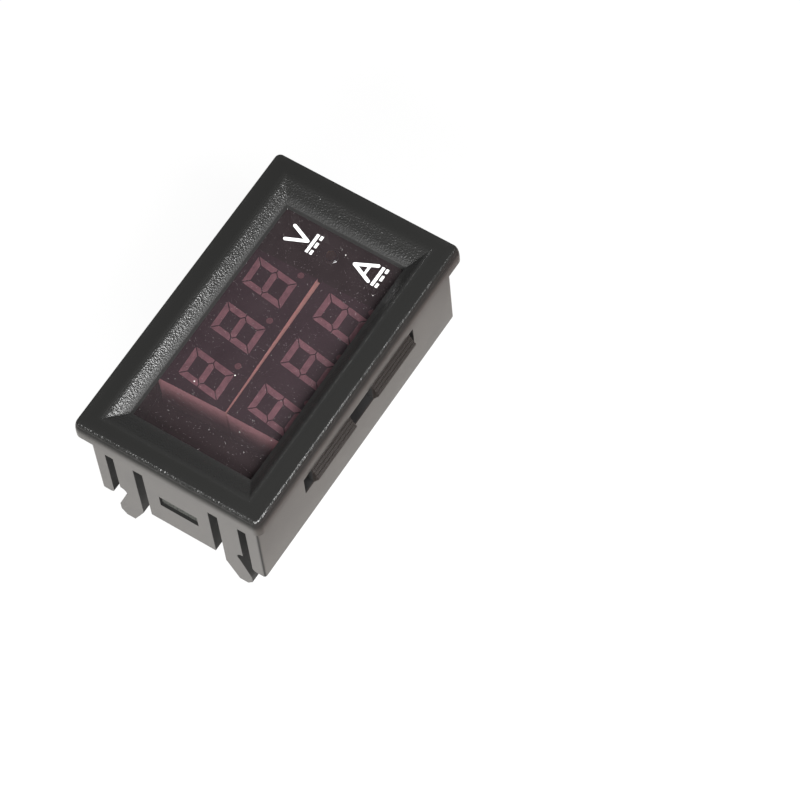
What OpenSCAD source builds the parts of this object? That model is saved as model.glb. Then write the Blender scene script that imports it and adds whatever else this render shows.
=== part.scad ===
// Digital panel meter: one moulded snap-in housing with a sloped bezel, a smoked
// red window, two three-digit displays and the measuring board behind them.
// X runs the way the digits read, Y is up on the face, Z is out of the face.
// The origin is under the middle of the four rear hooks, which it stands on.

/* [Bezel] */
// Length of the bezel, along the digits
bezel_w = 48; // [47.4:0.2:52]
// Height of the bezel, across the digits
bezel_d = 29; // [28.4:0.2:32]
// Thickness of the bezel flange
bezel_t = 3; // [2.4:0.1:4]
// Radius of the bezel's four upright corners
bezel_corner = 1.1; // [0.7:0.1:2]
// How far the bezel's edge rounds off, inwards on the face and down the side
bezel_edge = [0.7, 2.2]; // [0.2:0.1:2.3]
// Width of the flat rim at the bezel's ends
rim_x = 2.6; // [2:0.1:3.2]
// Width of the flat rim along the bezel's long sides
rim_y = 3.1; // [2.4:0.1:3.6]
// Width of the inner slope at the ends
slope_x = 3.2; // [2:0.1:4]
// Width of the inner slope along the long sides
slope_y = 2; // [1.4:0.1:2.6]
// Drop of the inner slope
slope_drop = 1.5; // [0.8:0.1:1.9]
// Radius of the soft edge between the flat rim and the inner slope
slope_soft = 2; // [0.5:0.1:2.5]

/* [Body] */
// Length of the body that goes through the panel
body_w = 45.7; // [45:0.1:46.6]
// Height of the body that goes through the panel
body_d = 26; // [25.4:0.1:27]
// Depth from the bezel's front face to the rear edge of the board tongues
body_depth = 18.4; // [17.6:0.2:24]
// Radius of the body's upright corners
body_corner = 0.4; // [0.2:0.1:1]
// Thickness of the two end walls
end_wall = 2.2; // [1.8:0.1:2.4]
// Thickness of the two long walls
side_wall = 1.5; // [1.2:0.1:1.7]
// Depth from the bezel's front face to the seat of the window
seat_depth = 2.8; // [2.4:0.1:3.4]
// How much shorter the long walls and corner legs are than the tongues
leg_short = 0.3; // [0.1:0.1:1]
// Radius at the foot of each corner leg, beside its slot
leg_round = 0.7; // [0.3:0.1:1]

/* [Board tongues and hooks] */
// Width of the springy tongue in the middle of each end wall
tongue_w = 10.2; // [8.6:0.1:10.6]
// Width of the slot between tongue and hook arm
inner_slot = 1.5; // [1:0.1:1.7]
// Width of each hook arm
arm_w = 3.1; // [2.7:0.1:3.3]
// Width of the slot between hook arm and corner leg
outer_slot = 1.3; // [0.9:0.1:1.5]
// Depth from the bezel's front face to the top of the slots
slot_depth = 7.2; // [6:0.1:9]
// How far the hooks reach behind the tongues
hook_reach = 4.8; // [4.2:0.1:6]
// Width and height of the chamfer inside a hook's foot
arm_chamfer = [1.8, 3.6]; // [1:0.1:4.4]
// How far a barb stands out past its arm
barb_out = 0.8; // [0.4:0.1:1]
// Lowest and highest height of a barb's edge above the hook's foot
barb_span = [1.0, 2.5]; // [0.6:0.1:3.4]
// Radius of the round notch above each barb
notch_r = 0.95; // [0.6:0.05:1.1]
// Height of the notch centre above the hook's foot
notch_up = 7.05; // [6.8:0.05:7.6]

/* [Panel latches] */
// Left end of the latch window in each long wall
window_left = -12.4; // [-14:0.1:-12]
// Right end of the latch window in each long wall
window_right = 13.6; // [13.3:0.1:15]
// Depth from the bezel's front face to the front edge of the latch window
window_front = 7.75; // [7:0.05:8.2]
// Height of the latch window
window_h = 3.7; // [3.4:0.1:4]
// Length of each latch
latch_w = 9; // [7:0.1:9.2]
// Middles of the two latches along the wall
latch_mid = [-5.95, 8.3]; // [-7:0.05:9]
// How far the latch lip stands out of the wall
latch_out = 0.9; // [0.5:0.1:1.2]
// Number of grip steps on a latch
latch_steps = 4; // [2:1:5]
// Depth of a latch, across the wall
latch_t = 1.2; // [0.9:0.1:1.2]
// How far the first grip step lies inside the wall's face
latch_in = 0.3; // [0.1:0.1:0.5]
// Gap between a latch and the front edge of its window
latch_gap = 0.35; // [0.2:0.05:0.6]
// Height of the flight of grip steps
latch_flight = 1.84; // [1.4:0.02:2.4]
// How much the tread of a grip step falls outwards
latch_fall = 0.055; // [0:0.005:0.1]

/* [Window and displays] */
// Thickness of the smoked window
filter_t = 1; // [0.8:0.1:1.6]
// Clearance round the window in the housing
filter_gap = 0.15; // [0.05:0.05:0.4]
// Length of one three-digit display
display_w = 22.7; // [22.2:0.1:26]
// Height of one three-digit display
display_d = 10.4; // [9.6:0.1:10.7]
// Depth of one three-digit display
display_h = 7; // [6:0.1:7.4]
// Gap between the two displays, at their middles
display_split = 0.44; // [0.4:0.02:0.9]
// Sideways places of the volts and the amps display from the bezel's middle
display_x = [0.3, 0.45]; // [-1:0.05:1]
// Place of the displays' gap, up from the bezel's middle
display_up = -0.1; // [-0.3:0.05:0.3]
// Gap between the window and the displays' faces
display_gap = 0.1; // [0.05:0.05:0.3]
// Turn of the volts and of the amps display, as they were soldered, in degrees
display_skew = [1.8, 0.7]; // [0:0.1:1.9]
// Height of the feet under each display
foot_h = 0.5; // [0.3:0.1:1]
// Height of a digit
digit_h = 6.6; // [6:0.1:7.2]
// Width of a digit
digit_w = 4.42; // [3.8:0.02:4.6]
// How much longer the step from digit to digit is than a third of the display
digit_spread = 0.2; // [0:0.01:0.22]
// Lean of the digits, in degrees
digit_lean = 9; // [0:1:12]
// Width of a segment
segment_w = 0.88; // [0.6:0.02:1]
// Gap between neighbouring segments
segment_gap = 0.16; // [0.08:0.02:0.3]
// Radius of a decimal point
point_r = 0.46; // [0.3:0.02:0.5]
// How far a decimal point stands short of halfway to the next digit
point_in = 0.95; // [0.9:0.05:1.1]
// Height of a decimal point's middle above the digit's lower edge
point_up = 0.26; // [0.2:0.02:0.5]
// Depth of the segments' light wells
segment_depth = 0.6; // [0.3:0.1:1.5]

/* [Circuit board] */
// Thickness of the circuit board
board_t = 1.6; // [1:0.1:2]
// Clearance between the board and the walls
board_gap = 0.3; // [0.15:0.05:0.5]
// Width of the board's two end tabs
tab_w = 5.6; // [4:0.1:6.4]
// How far a tab reaches into its wall
tab_in = 1.9; // [1:0.1:2.1]
// Clearance beside a tab in its tongue window
tab_side_gap = 0.2; // [0.1:0.05:0.5]
// Clearance in front of a tab in its tongue window
tab_front_gap = 0.3; // [0.1:0.05:0.6]
// Clearance behind a tab in its tongue window
tab_rear_gap = 0.5; // [0.2:0.05:0.8]
// Radius of a display pin
pin_r = 0.25; // [0.2:0.01:0.3]
// Clearance round a pin in its board hole
hole_gap = 0.15; // [0.1:0.01:0.2]
// Distance from pin to pin
pin_pitch = 2.54; // [2:0.01:2.6]
// Distance between the two pin rows of a display
row_pitch = 7.62; // [7.4:0.02:7.8]
// How far the display pins stand behind the board
pin_out = 1.3; // [1:0.1:1.8]
// How far the pins and legs from the rear reach through to the board's front
pin_through = 0.3; // [0.1:0.05:0.4]
// Height of the solder on the board's rear and on its front
solder_h = [0.8, 0.4]; // [0.3:0.05:1]
// Width of the solder round a pin, at the board and at its tip
solder_wide = [0.35, 0.1]; // [0.05:0.05:0.4]

/* [Rear connectors] */
// Distance between the two load pins
load_pitch = 3.96; // [3.5:0.02:4.2]
// Radius of a load pin
load_pin_r = 0.57; // [0.45:0.01:0.65]
// Place of the load header: in from the right end wall, up from the lower long wall
load_in = [6.45, 5.1]; // [4:0.05:8]
// Length, height and thickness of the load header's base
load_base = [7.9, 6.8, 3.2]; // [3:0.1:8]
// Height of the load header's lock wall
load_wall_h = 8.6; // [6:0.1:8.8]
// Thickness of the load header's lock wall
load_wall_t = 1.2; // [0.9:0.1:1.5]
// How much shorter the lock wall is than the base at each end
load_wall_in = 0.4; // [0.2:0.1:1]
// How far the lock wall's lip stands in, and the lip's height
load_lip = [0.5, 1.4]; // [0.3:0.1:1.6]
// Clearance from the lock wall's window to the base and to the lip
load_window_gap = [0.8, 0.5]; // [0.3:0.1:1.2]
// How much shorter the load pins are than the lock wall
load_pin_short = 0.6; // [0.2:0.1:1.5]
// Distance between the three supply pins
supply_pitch = 2; // [1.8:0.05:2.2]
// Radius of a supply pin
supply_pin_r = 0.28; // [0.22:0.01:0.32]
// Place of the supply header: in from the left end wall, up from the lower long wall
supply_in = [6.05, 3.9]; // [3:0.05:8]
// Length, height and depth of the supply header's shroud
supply_box = [7.9, 4.5, 6.0]; // [4:0.1:8]
// Wall of the supply header's shroud
supply_wall = 0.6; // [0.4:0.05:0.7]
// Floor of the supply header's shroud
supply_floor = 1.2; // [0.8:0.1:1.6]
// Width of a keyway in the shroud, and its height above the floor
supply_keyway = [0.9, 1.0]; // [0.6:0.1:1.6]
// How much shorter the supply pins are than the shroud
supply_pin_short = 1.0; // [0.4:0.1:1.6]

/* [Shunt and trimmers] */
// Radius of the shunt wire
shunt_r = 0.75; // [0.5:0.05:0.85]
// Distance between the shunt's legs
shunt_span = 10.2; // [9:0.1:10.6]
// Height of the shunt's bar behind the board
shunt_h = 3.2; // [2.6:0.1:4]
// Radius of the shunt's bends, to the wire's middle
shunt_bend = 1.5; // [1.1:0.1:2]
// Place of the shunt's middle: in from the right end wall, down from the upper long wall
shunt_in = [6.85, 7.9]; // [6:0.05:9]
// Length, height and thickness of a trimmer's base
trimmer_base = [3.8, 3.6, 1.5]; // [1:0.1:4]
// Width, length and height of a trimmer's flat foot
trimmer_foot = [0.9, 0.4, 0.5]; // [0.3:0.1:1]
// Distance from a trimmer's middle to its paired feet
trimmer_foot_x = 1.2; // [1:0.1:1.4]
// Radius of a trimmer's rotor
rotor_r = 1.3; // [1:0.05:1.5]
// Running clearance round a rotor
rotor_gap = 0.05; // [0.02:0.01:0.1]
// Depth of the rotor's socket
rotor_depth = 0.9; // [0.6:0.1:1.1]
// Width of the screwdriver cross in a rotor
cross_w = 0.5; // [0.3:0.05:0.6]
// Length of the screwdriver cross
cross_l = 2.1; // [1.6:0.1:2.2]
// Depth of the screwdriver cross
cross_depth = 0.4; // [0.2:0.05:0.5]
// Place of the volts trimmer: in from the left end wall, down from the upper long wall
volts_trim_in = [10.25, 3.7]; // [3:0.05:11]
// Place of the amps trimmer: in from the left end wall, down from the upper long wall
amps_trim_in = [4.25, 3.7]; // [3:0.05:11]

/* [Chips] */
// Length, width and height of the microcontroller's case
controller_size = [6.5, 4.4, 0.95]; // [0.8:0.05:7]
// Distance between the microcontroller's leads
controller_pitch = 0.65; // [0.5:0.05:0.65]
// Length, width and height of the amplifier's case
amplifier_size = [4.9, 3.9, 1.4]; // [1:0.1:5]
// Distance between the amplifier's leads
amplifier_pitch = 1.27; // [1:0.01:1.3]
// Length, width and height of the regulator's case
regulator_size = [4.5, 2.5, 1.4]; // [1:0.1:5]
// Distance between the regulator's leads
regulator_pitch = 1.5; // [1.2:0.1:1.7]
// Width, reach and thickness of the regulator's tab
regulator_tab = [1.8, 0.8, 0.4]; // [0.3:0.1:2]
// Place of the regulator: in from the left end wall, up from the middle
regulator_in = [10.45, 0.4]; // [0:0.05:11]
// Length, width and height of the supply diode's case
diode_size = [4.3, 2.6, 2.0]; // [1.5:0.1:5]
// Place of the supply diode: in from the left end wall, up from the middle
diode_in = [3.85, 0.6]; // [0:0.05:5]
// How far a lead reaches out: microcontroller, amplifier, regulator, diode
lead_out = [0.9, 1.0, 0.9, 0.6]; // [0.5:0.05:1.2]
// Width of a lead: microcontroller, amplifier, regulator, diode
lead_w = [0.22, 0.4, 0.45, 1.4]; // [0.2:0.01:1.6]
// Thickness of a bent lead
lead_t = 0.15; // [0.1:0.01:0.2]
// Gap between a chip's case and the board
chip_lift = 0.1; // [0.05:0.01:0.15]
// How much a case side leans in, above and below its leads
chip_draft = 0.12; // [0.05:0.01:0.2]
// Length, width and height of a chip resistor
resistor_size = [1.6, 0.8, 0.45]; // [0.3:0.05:2]
// Length, width and height of a chip capacitor
capacitor_size = [1.6, 0.8, 0.8]; // [0.3:0.05:2]

/* [Hidden] */

// Facets of a round face and of a small round face
round_fn = 64;
small_fn = 32;
// Overlap that fuses neighbouring forms of one moulding, and lets a cut pass a face
lap = 0.2;

// Heights, from the hooks' feet up to the face
face_z = body_depth + hook_reach;
flange_z = face_z - bezel_t;
seat_z = face_z - seat_depth;
tongue_z = hook_reach;
wall_z = tongue_z + leg_short;
slot_z = face_z - slot_depth;
filter_z = seat_z - filter_t;
display_z = filter_z - display_gap;
display_back_z = display_z - display_h;
board_top_z = display_back_z - foot_h;
board_z = board_top_z - board_t;
latch_front_z = face_z - window_front;
latch_rear_z = latch_front_z - window_h;

// The room inside the walls
room_w = body_w - 2 * end_wall;
room_d = body_d - 2 * side_wall;

// Edges of the end wall's slots and arms, from the middle out
arm_in_y = tongue_w / 2 + inner_slot;
arm_out_y = arm_in_y + arm_w;
leg_y = arm_out_y + outer_slot;

// Places of the displays, their digits, pins and feet
volts_y = display_up + (display_d + display_split) / 2;
amps_y = display_up - (display_d + display_split) / 2;
digit_pitch = display_w / 3 + digit_spread;
row_counts = [6, 5];
foot_r = 0.6;
foot_inset = 1;

// Places on the board's rear, from the walls' inner faces
load_at = [room_w / 2 - load_in[0], -room_d / 2 + load_in[1]];
supply_at = [-room_w / 2 + supply_in[0], -room_d / 2 + supply_in[1]];
shunt_at = [room_w / 2 - shunt_in[0], room_d / 2 - shunt_in[1]];
volts_trim_at = [-room_w / 2 + volts_trim_in[0], room_d / 2 - volts_trim_in[1]];
amps_trim_at = [-room_w / 2 + amps_trim_in[0], room_d / 2 - amps_trim_in[1]];
controller_at = [display_x[1], amps_y];
amplifier_at = [display_x[0], volts_y];
regulator_at = [-room_w / 2 + regulator_in[0], regulator_in[1]];
diode_at = [-room_w / 2 + diode_in[0], diode_in[1]];

// The small chip parts beside the part that each serves: along, up, and turn in degrees
resistor_by_trimmer = [[0, -3.4, 0]];
resistors_by_amplifier = [[-5.8, -1.05, 90], [-4.2, -1.05, 90], [4.1, -1.05, 90]];
resistors_by_controller = [[-7.8, 1.25, 90], [-7.8, -1.95, 90], [5.4, 1.45, 90], [5.4, -1.55, 90]];
resistors_by_shunt = [[-5.4, 5.2, 0], [-2.8, 5.2, 0]];
capacitor_by_amplifier = [[-5.1, 1.95, 90]];
capacitors_by_controller = [[-6.2, -0.35, 90], [7.1, 1.05, 90], [6.6, 5.25, 90]];
capacitors_by_shunt = [[0.2, 5.2, 0], [3.6, 5.2, 0]];
capacitors_by_supply = [[1.8, 4.6, 0], [-2.2, 4, 0]];

// Hair gap between solder and pin
solder_grip = 0.01;
// Flat strips along the soft edge of an inner slope, and round the bezel's edge
soft_steps = 5;
edge_steps = 12;

// A rectangle with round corners, centred
module round_rect(w, d, r) {
    union() {
        square([w - 2 * r, d], center = true);
        square([w, d - 2 * r], center = true);
        for (x = [-1, 1], y = [-1, 1])
            translate([x * (w / 2 - r), y * (d / 2 - r)])
                circle(r = r, $fn = round_fn);
    }
}

// The section of a plate's side that ends in a quarter of an ellipse, out to a reach
module edge_section(reach, t, edge) {
    polygon(concat(
        [[-lap, t], [-lap, 0], [reach, 0]],
        [
            for (i = [0 : edge_steps])
                let (turn = 90 * i / edge_steps)
                    [reach - edge[0] * (1 - cos(turn)), t - edge[1] * (1 - sin(turn))]
        ]
    ));
}

// A plate with round upright corners and a soft upper edge, its underside at z 0
module pillow_plate(w, d, t, corner, edge) {
    core_x = w / 2 - corner;
    core_y = d / 2 - corner;
    union() {
        linear_extrude(t) square([2 * core_x, 2 * core_y], center = true);
        for (x = [0, 1])
            mirror([x, 0, 0]) translate([core_x, 0, 0])
                rotate([90, 0, 0])
                    linear_extrude(2 * core_y, center = true) edge_section(corner, t, edge);
        for (y = [0, 1])
            mirror([0, y, 0]) translate([0, core_y, 0])
                rotate([90, 0, 90])
                    linear_extrude(2 * core_x, center = true) edge_section(corner, t, edge);
        for (x = [-1, 1], y = [-1, 1])
            translate([x * core_x, y * core_y, 0])
                rotate_extrude($fn = round_fn)
                    intersection() {
                        edge_section(corner, t, edge);
                        square([corner, t]);
                    }
    }
}

// Two crossing prisms, their sections mirrored from the right-hand outlines given
module crossing_prisms(right_x, right_y, length) {
    intersection() {
        rotate([90, 0, 0])
            linear_extrude(length, center = true) mirrored_outline(right_x);
        rotate([90, 0, 90])
            linear_extrude(length, center = true) mirrored_outline(right_y);
    }
}

// An outline given by its right-hand points from bottom to top, and their mirror images
module mirrored_outline(right) {
    last = len(right) - 1;
    polygon(concat(right, [for (i = [last : -1 : 0]) [-right[i][0], right[i][1]]]));
}

// A block that narrows from one rectangle to another
module tapered_block(low, high, h) {
    crossing_prisms([[low[0] / 2, 0], [high[0] / 2, h]], [[low[1] / 2, 0], [high[1] / 2, h]],
        max(concat(low, high)));
}

// A box given by its lowest and highest corners
module span(low, high) {
    translate(low) cube(high - low);
}

// Puts its children on all four quarters of the plan
module four_ways() {
    for (x = [0, 1], y = [0, 1])
        mirror([x, 0, 0]) mirror([0, y, 0]) children();
}

// Puts its children on both long sides
module both_sides() {
    for (y = [0, 1])
        mirror([0, y, 0]) children();
}

// The outline of an inner slope: its foot, the soft edge tangent to slope and rim, and a
// short rise above the face, so that the cut passes it. Heights are from the face.
function slope_outline(foot, run) =
    let (
        steep = atan(slope_drop / run),
        edge = foot + run + slope_soft * tan(steep / 2)
    )
    concat(
        [[foot, -slope_drop]],
        [
            for (i = [soft_steps : -1 : 0])
                let (turn = steep * i / soft_steps)
                    [edge - slope_soft * sin(turn), slope_soft * (cos(turn) - 1)]
        ],
        [[edge, lap]]
    );

// The sloped frame inside the bezel, and the clear opening behind it
module bezel_cut() {
    clear_x = bezel_w / 2 - rim_x - slope_x;
    clear_y = bezel_d / 2 - rim_y - slope_y;
    translate([0, 0, face_z])
        crossing_prisms(slope_outline(clear_x, slope_x), slope_outline(clear_y, slope_y), bezel_w);
    span([-clear_x, -clear_y, seat_z - lap], [clear_x, clear_y, face_z - slope_drop + lap]);
}

// One hook arm behind the end wall: chamfered inside, barbed outside, notched above
module hook_arm() {
    chamfer_up = arm_chamfer[1];
    foot_in_y = arm_in_y + arm_chamfer[0];
    barb_y = arm_out_y + barb_out;
    barb_low_z = barb_span[0];
    barb_top_z = barb_span[1];
    notch_45 = notch_r * cos(45);
    arm_top_z = slot_z + lap;
    translate([body_w / 2, 0, 0])
        rotate([90, 0, -90])
            mirror([1, 0, 0])
                difference() {
                    linear_extrude(end_wall)
                        polygon([
                            [arm_in_y, arm_top_z], [arm_in_y, chamfer_up], [foot_in_y, 0],
                            [arm_out_y, 0], [barb_y, barb_low_z], [barb_y, barb_top_z],
                            [arm_out_y - notch_45, notch_up - notch_45],
                            [arm_out_y, notch_up], [arm_out_y, arm_top_z]
                        ]);
                    translate([arm_out_y, notch_up, -lap])
                        cylinder(h = end_wall + 2 * lap, r = notch_r, $fn = round_fn);
                }
}

// The slots that free a hook arm, cut through the end wall
module arm_slots() {
    wall_in = room_w / 2 - lap;
    wall_out = body_w / 2 + lap;
    span([wall_in, tongue_w / 2, -lap], [wall_out, leg_y, slot_z]);
}

// The rounded foot of a corner leg, beside its slot
module leg_rounding() {
    wall_in = room_w / 2 - lap;
    wall_out = body_w / 2 + lap;
    difference() {
        span([wall_in, leg_y - lap, wall_z - lap], [wall_out, leg_y + leg_round, wall_z + leg_round]);
        translate([wall_in - lap, leg_y + leg_round, wall_z + leg_round])
            rotate([0, 90, 0])
                cylinder(h = end_wall + 4 * lap, r = leg_round, $fn = round_fn);
    }
}

// The window in a tongue that catches the board's tab
module tab_window() {
    half = tab_w / 2 + tab_side_gap;
    span([room_w / 2 - lap, -half, board_z - tab_rear_gap],
        [body_w / 2 + lap, half, board_top_z + tab_front_gap]);
}

// One latch: a springy tongue from the rear, with a stepped lip that grips the panel
module panel_latch(mid) {
    step_out = (latch_out + latch_in) / latch_steps;
    step_down = latch_flight / latch_steps;
    top_z = latch_front_z - latch_gap;
    lip_z = top_z - latch_flight;
    stairs = [
        for (i = [0 : latch_steps - 1], k = [0, 1])
            [(i + k) * step_out - latch_in, top_z - i * step_down - k * latch_fall]
    ];
    translate([mid - latch_w / 2, body_d / 2, 0])
        rotate([90, 0, 90])
            linear_extrude(latch_w)
                polygon(concat(
                    [[-latch_t, latch_rear_z - lap], [-latch_t, top_z]],
                    stairs,
                    [[latch_out, lip_z], [0, latch_rear_z], [-side_wall / 2, latch_rear_z - lap]]
                ));
}

// The whole housing is one moulding: bezel, body, tongues, hooks and latches
module housing() {
    color("#2b2b2b")
        union() {
            difference() {
                union() {
                    translate([0, 0, flange_z])
                        pillow_plate(bezel_w, bezel_d, bezel_t, bezel_corner, bezel_edge);
                    translate([0, 0, wall_z])
                        linear_extrude(flange_z + lap - wall_z)
                            round_rect(body_w, body_d, body_corner);
                    for (x = [0, 1])
                        mirror([x, 0, 0])
                            span([room_w / 2, -tongue_w / 2, tongue_z],
                                [body_w / 2, tongue_w / 2, flange_z]);
                }
                bezel_cut();
                span([-room_w / 2, -room_d / 2, -lap], [room_w / 2, room_d / 2, seat_z]);
                four_ways() {
                    arm_slots();
                    leg_rounding();
                }
                for (x = [0, 1])
                    mirror([x, 0, 0]) tab_window();
                both_sides()
                    span([window_left, room_d / 2 - lap, latch_rear_z],
                        [window_right, body_d / 2 + lap, latch_front_z]);
            }
            four_ways() hook_arm();
            both_sides()
                for (mid = latch_mid) panel_latch(mid);
        }
}

// The smoked window, dropped in from behind against the bezel
module smoked_window() {
    color("#3a0a16", 0.6)
        span([-room_w / 2 + filter_gap, -room_d / 2 + filter_gap, filter_z],
            [room_w / 2 - filter_gap, room_d / 2 - filter_gap, seat_z]);
}

// A point of the leaning digits
function lean(p) = [p[0] + p[1] * tan(digit_lean), p[1]];

// A segment from its corner points, moved to one quarter of the digit
module segment(points, quarter) {
    polygon([for (p = points) lean([p[0] * quarter[0], p[1] * quarter[1]])]);
}

// The outlines of one digit and its decimal point: mitred corners, pointed middle bar
module digit_outline() {
    right = digit_w / 2;
    top = digit_h / 2;
    mitre = segment_gap / sqrt(2);
    split = segment_gap / 2;
    tip = segment_w / 2;
    end_bar = [
        [right - mitre, top], [right - segment_w - mitre, top - segment_w],
        [-right + segment_w + mitre, top - segment_w], [-right + mitre, top]
    ];
    side_bar = [
        [right, top - mitre], [right, split], [right - tip + mitre - split, split],
        [right - segment_w, tip + mitre], [right - segment_w, top - segment_w - mitre]
    ];
    middle_bar = [
        [right - tip - mitre, 0], [right - segment_w - mitre, tip],
        [-right + segment_w + mitre, tip], [-right + tip + mitre, 0],
        [-right + segment_w + mitre, -tip], [right - segment_w - mitre, -tip]
    ];
    segment(middle_bar, [1, 1]);
    for (y = [-1, 1]) {
        segment(end_bar, [1, y]);
        for (x = [-1, 1]) segment(side_bar, [x, y]);
    }
    translate([digit_pitch / 2 - point_in, -digit_h / 2 + point_up])
        circle(r = point_r, $fn = small_fn);
}

// The light wells of a whole display, from a depth below its face
module light_wells(depth, over) {
    translate([0, 0, -depth])
        linear_extrude(depth + over)
            for (i = [-1, 0, 1])
                translate([i * digit_pitch, 0]) digit_outline();
}

// Puts a display's parts at its face, turned a little as it was soldered
module at_display(x, y, skew) {
    translate([x, y, display_z]) rotate([0, 0, skew]) children();
}

// A display's case: a block with light wells and four small feet
module display_case() {
    difference() {
        union() {
            translate([0, 0, -display_h / 2])
                cube([display_w, display_d, display_h], center = true);
            for (x = [-1, 1], y = [-1, 1])
                translate([x * (display_w / 2 - foot_inset), y * (display_d / 2 - foot_inset),
                        -display_h - foot_h])
                    cylinder(h = foot_h + lap, r = foot_r, $fn = small_fn);
        }
        light_wells(segment_depth, lap);
    }
}

module volts_display() {
    color("#242026") at_display(display_x[0], volts_y, display_skew[0]) display_case();
}

module volts_segments() {
    color("#b98087") at_display(display_x[0], volts_y, display_skew[0]) light_wells(segment_depth, 0);
}

module amps_display() {
    color("#242026") at_display(display_x[1], amps_y, display_skew[1]) display_case();
}

module amps_segments() {
    color("#b98087") at_display(display_x[1], amps_y, display_skew[1]) light_wells(segment_depth, 0);
}

// Places of every display pin, from the row counts
display_pin_places = [
    for (at = [[display_x[0], volts_y], [display_x[1], amps_y]], side = [0, 1])
        let (count = row_counts[side])
            for (i = [0 : count - 1])
                at + [(i - (count - 1) / 2) * pin_pitch, (side - 0.5) * row_pitch]
];
load_pin_places = [for (i = [-0.5, 0.5]) load_at + [i * load_pitch, 0]];
supply_pin_places = [for (i = [-1, 0, 1]) supply_at + [i * supply_pitch, 0]];
shunt_leg_places = [for (i = [-0.5, 0.5]) shunt_at + [i * shunt_span, 0]];

// Every pin and leg that passes the board: its place and its radius
rear_part_pins = concat(
    [for (p = load_pin_places) [p, load_pin_r]],
    [for (p = supply_pin_places) [p, supply_pin_r]],
    [for (p = shunt_leg_places) [p, shunt_r]]
);
pin_holes = concat([for (p = display_pin_places) [p, pin_r]], rear_part_pins);

module display_pins() {
    color("silver")
        for (p = display_pin_places)
            translate([p[0], p[1], board_z - pin_out])
                cylinder(h = display_back_z - board_z + pin_out, r = pin_r, $fn = small_fn);
}

// The board, with an end tab for each tongue window and a hole for each pin
module circuit_board() {
    plate_w = room_w - 2 * board_gap;
    plate_d = room_d - 2 * board_gap;
    tab_reach = room_w + 2 * tab_in;
    color("#1f6b3c")
        difference() {
            union() {
                span([-plate_w / 2, -plate_d / 2, board_z], [plate_w / 2, plate_d / 2, board_top_z]);
                span([-tab_reach / 2, -tab_w / 2, board_z], [tab_reach / 2, tab_w / 2, board_top_z]);
            }
            for (h = pin_holes)
                translate([h[0][0], h[0][1], board_z - lap])
                    cylinder(h = board_t + 2 * lap, r = h[1] + hole_gap, $fn = small_fn);
        }
}

// Puts a part on the board's rear face, its own z pointing away from the board
module on_rear(at, turn = 0) {
    translate([at[0], at[1], board_z]) mirror([0, 0, 1]) rotate([0, 0, turn]) children();
}

// A cone of solder standing on the board, with its pin through the middle
module solder_cone(r, h) {
    difference() {
        cylinder(h = h, r1 = r + solder_wide[0], r2 = r + solder_wide[1], $fn = small_fn);
        translate([0, 0, -lap])
            cylinder(h = h + 2 * lap, r = r + solder_grip, $fn = small_fn);
    }
}

// Display pins are soldered behind the board, and what stands behind it is soldered in front
module solder_joints() {
    color("#c9ccd1") {
        for (p = display_pin_places)
            on_rear(p) solder_cone(pin_r, solder_h[0]);
        for (h = rear_part_pins)
            translate([h[0][0], h[0][1], board_top_z]) solder_cone(h[1], solder_h[1]);
    }
}

// A moulded chip case with drafted sides, standing a little off the board
module chip_case(size) {
    half_h = size[2] / 2;
    waist = [size[0], size[1]];
    crown = [size[0] - 2 * chip_draft, size[1] - 2 * chip_draft];
    translate([0, 0, chip_lift]) {
        tapered_block(crown, waist, half_h);
        translate([0, 0, half_h]) tapered_block(waist, crown, half_h);
    }
}

// One bent lead from a case side at y 0, out along +Y and down to the board
module bent_lead(out, rise, width) {
    knee = out * 2 / 5;
    translate([-width / 2, 0, 0])
        rotate([90, 0, 90])
            linear_extrude(width)
                polygon([
                    [0, rise], [knee - lead_t / 2, rise], [knee - lead_t / 2, 0], [out, 0],
                    [out, lead_t], [knee + lead_t / 2, lead_t],
                    [knee + lead_t / 2, rise + lead_t], [0, rise + lead_t]
                ]);
}

// Two rows of leads along a case
module lead_rows(count, pitch, size, out, width) {
    for (side = [0, 1], i = [0 : count - 1])
        mirror([0, side, 0])
            translate([(i - (count - 1) / 2) * pitch, size[1] / 2, 0])
                bent_lead(out, size[2] / 2, width);
}

module microcontroller() {
    color("#222222") on_rear(controller_at) chip_case(controller_size);
}

module amplifier_chip() {
    color("#222222") on_rear(amplifier_at) chip_case(amplifier_size);
}

module voltage_regulator() {
    color("#222222") on_rear(regulator_at) chip_case(regulator_size);
}

module supply_diode() {
    color("#222222") on_rear(diode_at, 90) chip_case(diode_size);
}

// All the bright metal feet of the surface parts
module chip_leads() {
    color("#c9ccd1") {
        on_rear(controller_at)
            lead_rows(10, controller_pitch, controller_size, lead_out[0], lead_w[0]);
        on_rear(amplifier_at)
            lead_rows(4, amplifier_pitch, amplifier_size, lead_out[1], lead_w[1]);
        on_rear(regulator_at) {
            for (i = [-1, 0, 1])
                translate([i * regulator_pitch, regulator_size[1] / 2, 0])
                    bent_lead(lead_out[2], regulator_size[2] / 2, lead_w[2]);
            translate([0, -regulator_size[1] / 2, 0])
                span([-regulator_tab[0] / 2, -regulator_tab[1], 0],
                    [regulator_tab[0] / 2, 0, regulator_tab[2]]);
        }
        on_rear(diode_at, 90)
            for (x = [0, 1])
                mirror([x, 0, 0])
                    translate([diode_size[0] / 2, 0, 0])
                        rotate([0, 0, -90])
                            bent_lead(lead_out[3], diode_size[2] / 2, lead_w[3]);
        for (at = [volts_trim_at, amps_trim_at])
            on_rear(at) trimmer_feet();
    }
}

// Puts a list of offsets and turns beside a part that stands at a place
function beside(at, offsets) = [for (o = offsets) [at[0] + o[0], at[1] + o[1], o[2]]];

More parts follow.
